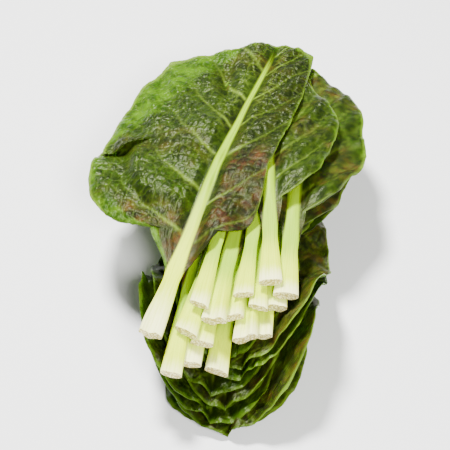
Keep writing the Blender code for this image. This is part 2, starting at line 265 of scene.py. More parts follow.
# Noise that repeats exactly: a random number for each point of a lattice

def latticeValue(i, j, seed):
    n = np.sin(i * 127.1 + j * 311.7 + seed * 74.7) * 43758.5453
    return n - np.floor(n)


def softNoise(x, y, size, seed):
    u, v = x / size, y / size
    i, j = np.floor(u), np.floor(v)
    fu, fv = smoothStep(u - i), smoothStep(v - j)
    low = mix(latticeValue(i, j, seed), latticeValue(i + 1, j, seed), fu)
    high = mix(latticeValue(i, j + 1, seed), latticeValue(i + 1, j + 1, seed), fu)
    return mix(low, high, fv)


def cellGap(x, y, size, seed):
    # 0 on the borders between scattered cells, up to about 1 in their middles
    u, v = x / size, y / size
    i, j = np.floor(u), np.floor(v)
    nearest = np.full(u.shape, 9.0)
    second = np.full(u.shape, 9.0)
    for di in (-1, 0, 1):
        for dj in (-1, 0, 1):
            pu = i + di + 0.15 + 0.7 * latticeValue(i + di, j + dj, seed)
            pv = j + dj + 0.15 + 0.7 * latticeValue(i + di, j + dj, seed + 5)
            distance = np.hypot(pu - u, pv - v)
            second = np.minimum(second, np.maximum(distance, nearest))
            nearest = np.minimum(nearest, distance)
    return second - nearest


# Heights from the solids

def naturalSpline(knots, values, places):
    # cubic spline through values (one column each) at the knots, read at the places
    n = len(knots)
    h = np.diff(knots)
    system = np.eye(n)
    right = np.zeros_like(values)
    for i in range(1, n - 1):
        system[i, i - 1:i + 2] = h[i - 1], 2.0 * (h[i - 1] + h[i]), h[i]
        right[i] = 6.0 * ((values[i + 1] - values[i]) / h[i] - (values[i] - values[i - 1]) / h[i - 1])
    bend = np.linalg.solve(system, right)
    k = np.clip(np.searchsorted(knots, places, side="right") - 1, 0, n - 2)
    a = ((knots[k + 1] - places) / h[k])[:, None]
    b = 1.0 - a
    curve = ((a**3 - a) * bend[k] + (b**3 - b) * bend[k + 1]) * (h[k] ** 2)[:, None] / 6.0
    return a * values[k] + b * values[k + 1] + curve


def solidHeights(leaf):
    # heights of the middle of the leaf's solid, at the points of the solid's own grid
    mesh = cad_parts[leaf.name].data
    tree = BVHTree.FromPolygons([v.co for v in mesh.vertices], [p.vertices for p in mesh.polygons])
    inStalk, inBlade, inTip, columns = leaf.grid
    along, intoTip = leaf.rows(inStalk, inBlade, inTip)
    even = np.linspace(-1.0, 1.0, columns + 1)[None, :]
    flat = leaf.lay(along, intoTip, even)
    x, y = leaf.inStack(flat["x"], flat["y"])
    middleX, middleY = x.mean(axis=1, keepdims=True), y.mean(axis=1, keepdims=True)
    top, under = np.zeros_like(x), np.zeros_like(x)
    for i in range(x.shape[0]):
        inner = min(max(i, 1), x.shape[0] - 2)
        for j in range(x.shape[1]):
            for inward in (0.002, 0.01, 0.04, 0.12, 0.3):  # in from the rim until the ray meets the solid
                px = mix(x[i, j], middleX[inner, 0], inward)
                py = mix(y[i, j], middleY[inner, 0], inward)
                down = tree.ray_cast(Vector((px, py, 1.0)), Vector((0.0, 0.0, -1.0)))[0]
                up = tree.ray_cast(Vector((px, py, -1.0)), Vector((0.0, 0.0, 1.0)))[0]
                if down is not None and up is not None:
                    top[i, j], under[i, j] = down.z, up.z
                    break
            else:
                raise RuntimeError(f"{leaf.name}: no solid under row {i}, column {j}")
    return along, even, (top + under) / 2.0


def fineHeights(leaf, along, intoTip, flat):
    # the solid's heights, carried over to the fine grid by splines along its rows and columns
    solidAlong, solidEven, solidHeight = solidHeights(leaf)
    byRow = naturalSpline(solidAlong[:, 0], solidHeight, along[:, 0])
    knots = leaf.lay(along, intoTip, solidEven)["x"]
    height = np.zeros_like(flat["x"])
    for i in range(len(height)):
        height[i] = naturalSpline(knots[i], byRow[i][:, None], flat["x"][i])[:, 0]
    return height


# Room for a leaf's relief: the leaves are dressed from the top down, under those already there

ceilingMap = {"cell": 0.003, "half": 0.180, "most": 0.012, "clear": 0.0003, "full": 0.0040}


class Ceiling:
    def __init__(self):
        self.count = round(2.0 * ceilingMap["half"] / ceilingMap["cell"]) + 1
        self.height = np.full((self.count, self.count), 1.0)

    def cells(self, x, y):
        u = (x + ceilingMap["half"]) / ceilingMap["cell"]
        v = (y + ceilingMap["half"]) / ceilingMap["cell"]
        return u, v

    def share(self, x, y, top):
        # how much of its full relief a surface may have at these points
        u, v = self.cells(x, y)
        iu, iv = np.floor(u).astype(int), np.floor(v).astype(int)
        room = np.zeros_like(x)
        for du, wu in ((0, 1.0 - (u - iu)), (1, u - iu)):
            for dv, wv in ((0, 1.0 - (v - iv)), (1, v - iv)):
                room += wu * wv * np.minimum(self.height[iv + dv, iu + du] - top, ceilingMap["most"])
        return np.clip((room - ceilingMap["clear"]) / ceilingMap["full"], 0.0, 1.0)

    def add(self, x, y, under):
        u, v = self.cells(x, y)
        layer = np.ones(self.height.shape)
        np.minimum.at(layer, (np.round(v).astype(int), np.round(u).astype(int)), under)
        for axis in (0, 1):
            layer = np.minimum(layer, np.minimum(np.roll(layer, 1, axis), np.roll(layer, -1, axis)))
        self.height = np.minimum(self.height, layer)


# The fine leaf

leafDetail = {
    "bladeThickness": 0.00045,
    "veinPairs": 6.0,
    "veinRise": (0.16, 0.26),  # how far a vein climbs to the rim, at the blade's base and more at its tip
    "veinCurve": 0.07,
    "veinNearer": 0.72,  # veins run aslant, so the next one is nearer than its way along the midrib
    "veinShift": 0.37,  # of the right side's veins against the left's, in gaps between veins
    "veinUneven": (0.55, 0.21),  # how far the gaps differ and the veins wobble, and over what size
    "veinWobble": (0.30, 0.016),
    "veinWidth": (0.0009, 0.0004),  # at the midrib and near the rim
    "veinStrength": (0.45, 0.75, 0.011),  # the least, how much more, and the size of the patches
    "quiltHeight": 0.0023,
    "quiltStart": 0.018,  # full from this far off the midrib
    "buckle": (0.021, 0.0036),  # size and height of the broad waves
    "pucker": (0.0056, 0.00105),  # and of the larger and the smaller bumps
    "finePucker": (0.0027, 0.00055),
    "puckerBend": (0.0042, 0.0055, 0.0050),  # how far the bumps' borders wander, over what sizes
    "puckerStrength": (0.55, 0.9, 0.013),
    "netWidth": 0.14,  # of the lines between bumps, as a share of a bump
    "rimRelief": 0.40,  # of the relief is lost at the rim
    "pressed": 0.5,  # how much of it the highest relief loses
    "ribShares": (0.24, 0.62),  # of a midrib's thickness above and below the sheet
    "stalkShares": (0.42, 0.60),
    "ribShown": (0.42, 0.48, 0.30),  # the midrib's width falls to this share, from here over this length
    "groove": (0.0009, 0.40),  # depth and width of the channel in a stalk's upper side
    "stalkRidges": (0.00009, 26.0),
    "flare": (0.05, 0.007),  # how much wider a stalk is at its cut end, and over what length
    "waist": 0.08,  # how much narrower it is half way up
    "cutSlant": (0.0020, 0.006),  # how far one side of a cut end lies before the other, over what length
    "edgeSwing": 0.0060,  # share of the blade's size that its outline swings by
    "edgeWaves": ((11.0, 1.0, 1.0), (19.0, 0.6, 2.0), (37.0, 0.4, 5.0)),  # waves a turn, share, phase
    "edgeLift": (0.0009, 14.0, 3.0),  # height, waves a turn, phase
    "topSpacing": 0.00078,  # between mesh points, on the top leaf, the other seen ones and the rest
    "seenSpacing": 0.0014,
    "hiddenSpacing": 0.0027,
}

topFold = {
    "rim": (-0.078, 0.1225),  # where the crease meets the rim, and the way it runs inwards
    "inward": (0.951, 0.309),
    "fade": (0.015, 0.026),  # from how far in the crease gets shallower, and over what reach
    "lip": 0.0125,  # how far the upper side lies over the lower one
    "lipTurn": (-0.0012, 0.0034),  # where above the crease the lip turns over, and flattens out behind
    "lipBack": (0.0022, 0.030),
    "lift": 0.0062,
    "crease": (0.0050, 0.0060),  # how far below the lip it lies, and its width
    "hollow": (0.0060, 0.0055, 0.060),  # the same of the hollow under the lip, and its reach inwards
    "hollowDepth": 0.0045,
    "notch": (0.0030, 0.0030, 0.009),  # depth, width and reach of the notch in the rim
    "cleft": (0.0085, 0.0042),  # depth and width of the cleft at the blade's base
    "cleftX": -0.024,
    "cleftTop": 0.11,
    "tipTurn": 0.0042,
    "tipX": (-0.012, 0.020),
    "valley": (-0.014, 0.180),  # a broad valley runs up from here, left of the midrib
    "valleyLean": 0.22,
    "valleySize": (0.0032, 0.0058),  # depth and width
    "valleyStart": (-0.030, 0.035),
    "bank": (0.5, 0.011, 0.007),  # the low ridge beside it: share of the depth, how far off, width
}

topLobe = {
    "start": (-0.064, 0.130),  # the left lobe's border runs from here down to the cleft
    "way": (0.56, -0.83),
    "fadeIn": (-0.010, 0.016),
    "fadeOut": (0.058, 0.012),
    "bend": (0.0030, 0.0085),
    "height": 0.0027,  # how far the blade stands above the lobe
    "step": (-0.0028, 0.0062),  # where it rises beside the border, and sinks again on the blade
    "back": (0.004, 0.026),
    "furrow": (0.5, 0.0042, 0.0038),  # share of the height, how far off the border, width
}


def fineGrid(leaf):
    spacing = leafDetail["seenSpacing"]
    if leaf.name == "top_leaf":
        spacing = leafDetail["topSpacing"]
    elif leaf.grid == stackPlan["hiddenGrid"]:
        spacing = leafDetail["hiddenSpacing"]
    step = 2.0 / leaf.grid[3]
    left = int(leaf.halfWidth * (1.0 + leaf.lean) / spacing)
    right = int(leaf.halfWidth * (1.0 - leaf.lean) / spacing)
    ribColumns = 14
    even = np.concatenate([  # the same columns as the solid's, each cut finer
        np.linspace(-1.0, -step, left, endpoint=False),
        np.linspace(-step, step, ribColumns, endpoint=False),
        np.linspace(step, 1.0, right + 1),
    ])[None, :]
    inStalk = int(leaf.stalk / max(spacing, 0.0022))
    inBlade = int((leaf.widest() - leaf.stalk) / spacing)
    inTip = int((leaf.length - leaf.widest()) * 1.15 / spacing)
    along, intoTip = leaf.rows(inStalk, inBlade, inTip)
    return along, intoTip, even


def sideVeins(leaf, flat):
    # nearness to a side vein in metres, and the place between two veins from -0.5 to 0.5
    blade = leaf.length - leaf.stalk
    t = np.abs(flat["x"]) / leaf.halfWidth
    s = (flat["y"] - leaf.slant * flat["x"] - leaf.stalk) / blade
    base, more = leafDetail["veinRise"]
    start = s - (base + more * np.clip(s, 0.0, 1.0)) * t - leafDetail["veinCurve"] * t**2
    side = np.where(flat["x"] > 0.0, leafDetail["veinShift"], 0.0)
    share, size = leafDetail["veinUneven"]
    uneven = share * (softNoise(start + 3.0 * side, 0.0 * start, size, leaf.seed) - 0.5)
    share, size = leafDetail["veinWobble"]
    wobble = share * (softNoise(flat["x"], flat["y"], size, leaf.seed + 1) - 0.5) * np.clip(t, 0.0, 1.0)
    place = start * leafDetail["veinPairs"] + uneven + wobble + side
    between = place - np.round(place)
    distance = np.abs(between) * blade / leafDetail["veinPairs"] * leafDetail["veinNearer"]
    return distance, between, t


def strength(x, y, setting, seed):
    least, more, size = setting
    return least + more * softNoise(x, y, size, seed)


def detailHeights(leaf, flat):
    # buckles, quilting and puckers over the blade, and what they leave for the colours
    seed = leaf.seed
    x, y = flat["x"], flat["y"]
    blade = 1.0 - flat["stalkness"]
    fromRib = np.abs(flat["across"]) * flat["width"] - flat["rib"]
    onBlade = blade * smoothStep(fromRib / 0.007)
    inside = 1.0 - leafDetail["rimRelief"] * flat["edge"] ** 8
    distance, between, t = sideVeins(leaf, flat)
    quilt = (1.0 - np.cos(2.0 * math.pi * between)) / 2.0
    reach, sizeX, sizeY = leafDetail["puckerBend"]
    bendX = reach * (softNoise(x, y, sizeX, seed + 8) - 0.5)
    bendY = reach * (softNoise(x, y, sizeY, seed + 9) - 0.5)
    gap = cellGap(x + bendX, y * 0.85 + bendY, leafDetail["pucker"][0], seed)
    fineGap = cellGap(x - bendY, y + bendX, leafDetail["finePucker"][0], seed + 3)
    pucker = 1.0 - np.clip(1.0 - gap * 1.15, 0.0, 1.0) ** 2
    finePucker = 1.0 - np.clip(1.0 - fineGap * 1.15, 0.0, 1.0) ** 2
    strong = strength(x, y, leafDetail["puckerStrength"], seed + 4)
    height = leafDetail["quiltHeight"] * quilt * smoothStep(fromRib / leafDetail["quiltStart"])
    height = height + leafDetail["pucker"][1] * pucker * (0.4 + 0.6 * quilt) * strong
    height = height + leafDetail["finePucker"][1] * finePucker * strong
    height = height + leafDetail["buckle"][1] * softNoise(x, y, leafDetail["buckle"][0], seed + 6)
    veinWidth = mix(leafDetail["veinWidth"][0], leafDetail["veinWidth"][1], np.clip(1.4 * t, 0.0, 1.0))
    vein = hump(distance, veinWidth) * np.clip(1.0 - 1.05 * t, 0.0, 1.0)
    vein = vein * strength(x, y, leafDetail["veinStrength"], seed + 14)
    net = hump(gap, leafDetail["netWidth"]) * 0.6 + hump(fineGap, leafDetail["netWidth"]) * 0.3
    upperRib = 2.2 * hump(fromRib, 0.012) * smoothStep((flat["along"] / leaf.length - 0.55) / 0.2)
    net = net * (1.0 + upperRib)
    return height * onBlade * inside, vein * blade * smoothStep(fromRib / 0.0015), net * onBlade


def edgeShape(leaf, flat):
    # small swings of the outline and of the rim's height
    swing = np.zeros_like(flat["angle"])
    for waves, share, phase in leafDetail["edgeWaves"]:
        swing += share * np.sin(waves * flat["angle"] + phase * leaf.seed)
    rise, waves, phase = leafDetail["edgeLift"]
    lift = 1.0 + np.sin(waves * flat["angle"] + phase * leaf.seed)
    near = flat["edge"] ** 5 * (1.0 - flat["stalkness"])
    return leafDetail["edgeSwing"] * swing * near, rise * lift * near


def foldTop(flat, height):
    # the top leaf's crease at its left side, the cleft beside its left lobe, and its turned tip
    x, y = flat["x"], flat["y"]
    dx, dy = topFold["inward"]
    inward = (x - topFold["rim"][0]) * dx + (y - topFold["rim"][1]) * dy
    above = (y - topFold["rim"][1]) * dx - (x - topFold["rim"][0]) * dy
    fade = 1.0 - ease(inward, *topFold["fade"])
    over = ease(above, *topFold["lipTurn"]) * (1.0 - ease(above, *topFold["lipBack"])) * fade
    notch = hump(above, topFold["notch"][1]) * hump(inward, topFold["notch"][2])
    cleft = hump(x - topFold["cleftX"], topFold["cleft"][1]) * flat["edge"] ** 6 * (y < topFold["cleftTop"])
    tip = ease(flat["intoTip"], 0.80, 0.20) * hump(x - topFold["tipX"][0], topFold["tipX"][1])
    flat["x"] = x + topFold["notch"][0] * notch + topFold["lip"] * over * dy
    flat["y"] = y + topFold["cleft"][0] * cleft - topFold["lip"] * over * dx - 0.8 * topFold["tipTurn"] * tip
    # the crease mask also sets where painted shade goes under the lip
    below, width = topFold["crease"]
    flat["crease"] = hump(above + below, width) * fade
    below, width, reach = topFold["hollow"]
    hollow = hump(above + below, width) * (1.0 - smoothStep(inward / reach))
    height = height + topFold["lift"] * over - topFold["hollowDepth"] * hollow + topFold["tipTurn"] * tip
    up = y - topFold["valley"][1]
    beside = x - topFold["valley"][0] + topFold["valleyLean"] * up
    depth, width = topFold["valleySize"]
    share, off, bankWidth = topFold["bank"]
    valley = hump(beside, width) - share * hump(beside - off, bankWidth)
    window = ease(up, *topFold["valleyStart"]) * (1.0 - 0.75 * flat["edge"] ** 10)
    return height - depth * valley * window + lobeBorder(x, y)


def lobeBorder(x, y):
    # the blade stands a step above its left lobe, with a furrow between
    wayX, wayY = topLobe["way"]
    dx, dy = x - topLobe["start"][0], y - topLobe["start"][1]
    down = dx * wayX + dy * wayY
    bend = topLobe["bend"][0] * np.sin(down / topLobe["bend"][1])
    beside = dy * wayX - dx * wayY - bend
    window = ease(down, *topLobe["fadeIn"]) * (1.0 - ease(down, *topLobe["fadeOut"]))
    step = ease(beside, *topLobe["step"]) * (1.0 - ease(beside, *topLobe["back"]))
    share, off, width = topLobe["furrow"]
    return topLobe["height"] * (step - share * hump(beside + off, width)) * window


def stalkSwell(leaf, flat):
    # a stalk flares at its cut end and is slimmer half way up
    half = 0.5 * leaf.stalk
    waist = smoothStep(flat["along"] / half) * (1.0 - smoothStep((flat["along"] - half) / half))
    wider, length = leafDetail["flare"]
    flare = np.exp(-flat["along"] / length)
    return 1.0 + leaf.swell * (wider * flare - leafDetail["waist"] * waist)


def ribShare(leaf, flat):
    # how much of its solid's width the midrib shows, which is less towards the tip
    share, start, reach = leafDetail["ribShown"]
    return mix(1.0, share, ease(flat["along"] / leaf.length, start, reach))


def cutSlant(leaf, flat):
    # knife cuts are a little slanted and uneven
    side = 2.0 * latticeValue(leaf.seed, 8.0, 2.0) - 1.0  # which side is cut shorter, and how much
    uneven = 0.5 * softNoise(flat["across"], 0.0 * flat["across"] + leaf.seed, 0.45, leaf.seed)
    slant, length = leafDetail["cutSlant"]
    return slant * (side * flat["across"] + uneven) * hump(flat["along"], length)


def leafThickness(leaf, flat):
    half, thick = leaf.rib(flat["along"])
    thick = thick * stalkSwell(leaf, flat)
    shown = half * ribShare(leaf, flat)
    fromRib = np.clip(np.abs(flat["across"]) * (half + leaf.wing(flat["along"])) / shown, 0.0, 1.0)
    ridge = thick * (1.0 - fromRib**2)
    rounding = thick * np.sqrt(1.0 - 0.95 * flat["across"] ** 2)
    blade = leafDetail["bladeThickness"] / 2.0
    ribShares, stalkShares = leafDetail["ribShares"], leafDetail["stalkShares"]
    stalkness = flat["stalkness"]
    above = mix(blade + ribShares[0] * ridge, stalkShares[0] * rounding, stalkness)
    below = mix(blade + ribShares[1] * ridge, stalkShares[1] * rounding, stalkness)
    depth, width = leafDetail["groove"]
    groove = depth * hump(flat["across"], width)
    rise, waves = leafDetail["stalkRidges"]
    above = above + (rise * np.cos(flat["across"] * waves) - groove) * stalkness * leaf.stalkSize
    return np.maximum(above, blade), np.maximum(below, blade)


def gridSolid(rows, columns):
    # a closed slab of one grid and its underside, whose vertices say their column, row and side
    mesh = bmesh.new()
    bmesh.ops.create_grid(mesh, x_segments=columns, y_segments=rows, size=0.5)
    bmesh.ops.translate(mesh, verts=mesh.verts[:], vec=(0.5, 0.5, 0.0))
    bmesh.ops.scale(mesh, verts=mesh.verts[:], vec=(columns, rows, 1.0))
    raised = bmesh.ops.extrude_face_region(mesh, geom=mesh.faces[:])["geom"]
    raised = [item for item in raised if isinstance(item, bmesh.types.BMVert)]
    bmesh.ops.translate(mesh, verts=raised, vec=(0.0, 0.0, 1.0))
    bmesh.ops.recalc_face_normals(mesh, faces=mesh.faces[:])

    def order(face):
        x, y, z = 2.0 * face.calc_center_median()
        return (z * (2 * rows + 1) + y) * (2 * columns + 1) + x

    mesh.faces.sort(key=order)  # extruding gives the walls another order each run
    return mesh


def makeLeafObject(leaf, x, y, flat, top, under, masks, materials):
    rows, columns = flat["x"].shape[0] - 1, flat["x"].shape[1] - 1
    mesh = gridSolid(rows, columns)
    data = bpy.data.meshes.new(leaf.name + "_fresh")
    mesh.to_mesh(data)
    mesh.free()

    count = len(data.vertices)
    places = np.zeros(count * 3)
    data.vertices.foreach_get("co", places)
    column, row, side = np.round(places.reshape(-1, 3)).astype(int).T
    height = np.where(side == 1, top[row, column], under[row, column])
    places = np.stack([x[row, column], y[row, column], height], axis=1)
    data.vertices.foreach_set("co", places.ravel())

    for name, values in masks.items():
        layer = data.attributes.new(name, "FLOAT", "POINT")
        layer.data.foreach_set("value", values[row, column].astype(np.float32))
    corner = np.zeros(len(data.loops), dtype=np.int32)
    data.loops.foreach_get("vertex_index", corner)
    plan = data.uv_layers.new(name="plan")
    uv = np.stack([flat["x"][row, column], flat["y"][row, column]], axis=1)[corner]
    plan.data.foreach_set("uv", uv.ravel().astype(np.float32))

    finish = []
    for face in data.polygons:
        corners = list(face.vertices)
        if side[corners].min() == 1:
            finish.append(0)
        elif side[corners].max() == 0:
            finish.append(1)
        else:
            finish.append(2 if row[corners].max() == 0 else 0)
    for material in materials:
        data.materials.append(material)
    data.polygons.foreach_set("material_index", finish)
    data.shade_smooth()
    data.set_sharp_from_angle(angle=math.radians(60))
    data.update()
    piece = bpy.data.objects.new(leaf.name + "_fresh", data)
    bpy.context.scene.collection.objects.link(piece)
    return piece


leafTints = {
    "patches": (0.022, 0.007),  # sizes of the large and the small purple patches
    "purple": 0.6,  # how purple a patch of a green leaf is
    "nestedPurple": 0.55,
    "rimHighlight": 0.6,  # how pale the painted highlight along the rim is, a thin line where the rim catches the light
}

topTints = {
    "limeSide": (-0.95, 0.72),  # direction and breadth, in radians, of the broad lime rim
    "limeLobe": (-2.05, 0.45),
    "limeLobeShare": 0.55,
    "webHeight": 1.30,  # the web beside the stalk ends this many stalk lengths up
    "redLobe": (0.004, 0.150),  # red-brown to the right of this and below this
    "rightShade": 0.55,
    "paleStalk": 0.46,  # below 1, the stalk stays pale for longer
}


def tintTop(leaf, flat, rib, rim, purple, patch):
    # the top leaf's broad lime rim at its left, and its red-brown lobe and web
    x, y = flat["x"], flat["y"]
    way, breadth = topTints["limeSide"]
    side = hump(flat["angle"] - way, breadth, 4)
    way, breadth = topTints["limeLobe"]
    lobe = topTints["limeLobeShare"] * hump(flat["angle"] - way, breadth, 4)
    pale = np.maximum(side, lobe)
    broad = smoothStep((flat["edge"] + 0.25 * (patch - 0.5) - mix(1.05, 0.52, pale)) / 0.36)
    rim = np.maximum(rim * 0.7, broad)
    web = smoothStep((leaf.stalk * topTints["webHeight"] - y) / 0.025) * (1.0 - rib)
    redX, redY = topTints["redLobe"]
    red = smoothStep((x - redX) / 0.006) * smoothStep((redY - y) / 0.025)
    purple = np.maximum(purple * 0.5 * (1.0 - rim), np.maximum(0.95 * web, red) * (0.65 + 0.6 * patch))
    purple = np.maximum(purple, 0.20 * smoothStep(x / 0.008) * (1.0 - rim) * (0.4 + patch))
    rim = rim * (1.0 - 0.9 * np.maximum(web, red))
    rim = np.maximum(rim, 0.85 * web * smoothStep((-flat["across"] - 0.70) / 0.20))
    return rim, purple


def colourMasks(leaf, flat, vein, net):
    # what the materials read: how much rib, vein, lime rim, purple and painted shade there is at each point
    x, y = flat["x"], flat["y"]
    fromMiddle = np.abs(flat["across"]) * flat["width"]
    tipFade = 1.0 - smoothStep((flat["along"] / leaf.length - 0.84) / 0.14)
    half = flat["rib"] * mix(0.70, 1.02, flat["stalkness"]) * ribShare(leaf, flat)
    rib = (1.0 - smoothStep((fromMiddle - half) / mix(0.0017, 0.0011, flat["stalkness"]))) * tipFade
    large, small = leafTints["patches"]
    patch = softNoise(x, y, large, leaf.seed + 11) * 0.6 + softNoise(x, y, small, leaf.seed + 12) * 0.4
    # painted highlight: a thin pale line along every rim, where it catches the light
    line = smoothStep((flat["edge"] - 0.972) / 0.02) * leafTints["rimHighlight"]
    rim = smoothStep((flat["edge"] - mix(0.84, 0.98, patch)) / 0.14)
    purple = smoothStep((patch - 0.42) / 0.3) * leafTints["purple"]
    if leaf.purple:
        purple = mix(purple, 1.0, 0.8)
        rim = rim * 0.5
    if leaf.nested:
        purple = purple * leafTints["nestedPurple"]
    even = np.ones_like(x)
    # painted shade on the nested leaves, which lie under the others
    paintedShade = even * (1.0 if leaf.nested else 0.0)
    paleStalk = 1.0
    if leaf.name == "top_leaf":
        rim, purple = tintTop(leaf, flat, rib, rim, purple, patch)
        # painted shade over the top leaf's right half
        paintedShade = topTints["rightShade"] * smoothStep((x - 0.002) / 0.012) * (1.0 - rim)
        paleStalk = topTints["paleStalk"]
    wings = smoothStep((leaf.stalk * 1.15 - y) / 0.02) * (1.0 - rib)
    purple = np.maximum(purple, wings * 0.9 * patch)
    # the painted rim highlight goes into the vein and rim masks
    return {
        "rib": rib, "vein": np.maximum(vein, line), "net": net, "rim": np.maximum(rim, line),
        "purple": np.clip(purple, 0.0, 1.0), "along": paleStalk * flat["along"] / leaf.length,
        "paintedShade": paintedShade, "tone": even * latticeValue(leaf.seed, 3.0, 1.0),
    }


def makeFineLeaf(leaf, ceiling, materials):
    along, intoTip, even = fineGrid(leaf)
    flat = leaf.lay(along, intoTip, even)
    flat["intoTip"] = intoTip + 0.0 * even
    height = fineHeights(leaf, along, intoTip, flat)
    above, below = leafThickness(leaf, flat)
    height = height + (below - above) / 2.0  # the heights read are of the slab's middle, not of its sheet
    relief, vein, net = detailHeights(leaf, flat)
    masks = colourMasks(leaf, flat, vein, net)
    swing, lift = edgeShape(leaf, flat)
    if leaf.name == "top_leaf":
        height = foldTop(flat, height)
        # painted shade: the lime rim fades out in the crease under the lip, so it is darker there
        masks["rim"] = masks["rim"] * (1.0 - 0.8 * flat["crease"])
    swell = mix(1.0, stalkSwell(leaf, flat), flat["stalkness"])
    centre = leaf.stalk + 0.4 * (leaf.length - leaf.stalk)
    flat["x"] = flat["x"] * (1.0 + swing) * swell
    flat["y"] = centre + (flat["y"] - centre) * (1.0 + swing) + cutSlant(leaf, flat)
    x, y = leaf.inStack(flat["x"], flat["y"])
    if leaf.nested:
        # the nest's painted shade grows lighter towards its right side
        masks["paintedShade"] = masks["paintedShade"] * (1.0 - smoothStep((x + 0.3 * y + 0.020) / 0.040))
    height = height + (relief + lift) * ceiling.share(x, y, height + above)
    pastSolids = np.maximum(height + above - cadBox[1][2] - 0.0006, 0.0)
    height = height - leafDetail["pressed"] * pastSolids
    ceiling.add(x, y, height - below)
    return makeLeafObject(leaf, x, y, flat, height + above, height - below, masks, materials)


# Materials

class Shader:
    def __init__(self, name):
        self.material = bpy.data.materials.new(name)
        self.material.use_nodes = True
        self.tree = self.material.node_tree
        self.shader = self.tree.nodes["Principled BSDF"]

    def node(self, kind, settings=None, inputs=None):
        made = self.tree.nodes.new(kind)
        for name, value in (settings or {}).items():
            setattr(made, name, value)
        for name, value in (inputs or {}).items():
            self.put(made.inputs[name], value)
        return made

    def put(self, socket, value):
        if isinstance(value, bpy.types.NodeSocket):
            self.tree.links.new(value, socket)
        else:
            socket.default_value = value

    def mask(self, name):
        return self.node("ShaderNodeAttribute", {"attribute_name": name}).outputs["Fac"]

    def plan(self):
        return self.node("ShaderNodeUVMap", {"uv_map": "plan"}).outputs["UV"]

    def place(self):
        return self.node("ShaderNodeTexCoord").outputs["Object"]

    def maths(self, operation, a, b=0.0, c=0.0):
        return self.node("ShaderNodeMath", {"operation": operation}, {0: a, 1: b, 2: c}).outputs[0]

    def noise(self, vector, scale, detail=2.0, roughness=0.5):
        inputs = {"Vector": vector, "Scale": scale, "Detail": detail, "Roughness": roughness}
        return self.node("ShaderNodeTexNoise", None, inputs).outputs["Fac"]

    def cells(self, vector, scale, feature="DISTANCE_TO_EDGE"):
        made = self.node("ShaderNodeTexVoronoi", {"feature": feature}, {"Vector": vector, "Scale": scale})
        return made.outputs["Distance"]

    def ramp(self, value, low, high, toLow=0.0, toHigh=1.0):
        inputs = {"Value": value, "From Min": low, "From Max": high, "To Min": toLow, "To Max": toHigh}
        made = self.node("ShaderNodeMapRange", {"interpolation_type": "SMOOTHSTEP"}, inputs)
        return made.outputs["Result"]

    def blend(self, share, a, b, kind="MIX"):
        made = self.node("ShaderNodeMix", {"data_type": "RGBA", "blend_type": kind}, {0: share})
        self.put(made.inputs[6], a)
        self.put(made.inputs[7], b)
        return made.outputs[2]

    def bump(self, height, distance, strength=1.0, normal=None):
        inputs = {"Height": height, "Distance": distance, "Strength": strength}
        made = self.node("ShaderNodeBump", None, inputs)
        if normal is not None:
            self.put(made.inputs["Normal"], normal)
        return made.outputs["Normal"]

    def finish(self, **sockets):
        for name, value in sockets.items():
            self.put(self.shader.inputs[name.replace("_", " ")], value)
        return self.material


def srgb(red, green, blue):
    def linear(value):
        value = value / 255.0
        return value / 12.92 if value <= 0.04045 else ((value + 0.055) / 1.055) ** 2.4
    return linear(red), linear(green), linear(blue), 1.0


leafColours = {
    "darkGreen": srgb(16, 28, 4),
    "midGreen": srgb(38, 56, 8),
    "lime": srgb(70, 106, 2),
    "limeShade": srgb(38, 66, 3),
    "purple": srgb(25, 14, 12),
    "redBrown": srgb(88, 38, 20),
    "vein": srgb(124, 152, 44),
    "stalkLime": srgb(154, 192, 0),
    "stalkPale": srgb(216, 236, 0),
    "stalkWhite": srgb(255, 255, 180),
    "stalkLine": srgb(186, 206, 120),
    "under": srgb(86, 116, 42),
    "cut": srgb(252, 246, 186),
    "cutShade": srgb(184, 168, 84),
    "paintedShadeFactor": (0.36, 0.42, 0.30, 1.0),  # painted shade: multiplies the colour, so it isn't a colour of its own
}


def stalkColour(make):
    along = make.mask("along")
    drawn = make.node("ShaderNodeMapping", None, {"Vector": make.plan(), "Scale": (1.0, 0.06, 1.0)})
    streaks = make.noise(drawn.outputs["Vector"], 900.0, 2.0)
    moved = make.maths("MULTIPLY_ADD", streaks, 0.04, along)
    moved = make.maths("MULTIPLY_ADD", make.mask("tone"), 0.03, moved)
    lower = make.blend(make.ramp(moved, 0.03, 0.09), leafColours["stalkWhite"], leafColours["stalkPale"])
    colour = make.blend(make.ramp(moved, 0.10, 0.23), lower, leafColours["stalkLime"])
    lines = make.ramp(streaks, 0.48, 0.72, 0.0, 0.28)
    return make.blend(lines, colour, leafColours["stalkLine"], "MULTIPLY")


leafFinish = {
    "mottle": 110.0,  # pattern scales, in turns to a metre
    "blotches": 70.0,
    "limeSpots": 260.0,
    "skinCells": 620.0,
    "skinGrain": 1500.0,
    "netShare": 0.16,  # how far the colour of the net and of the side veins shows
    "veinShare": 0.70,
    "roughness": 0.29,
    "grainRoughness": 0.14,  # added by the grain, by purple and on the ribs
    "purpleRoughness": 0.12,
    "ribRoughness": 0.10,
    "bump": 0.0003,
    "veinHeight": 4.0,
    "netHeight": 2.4,
}


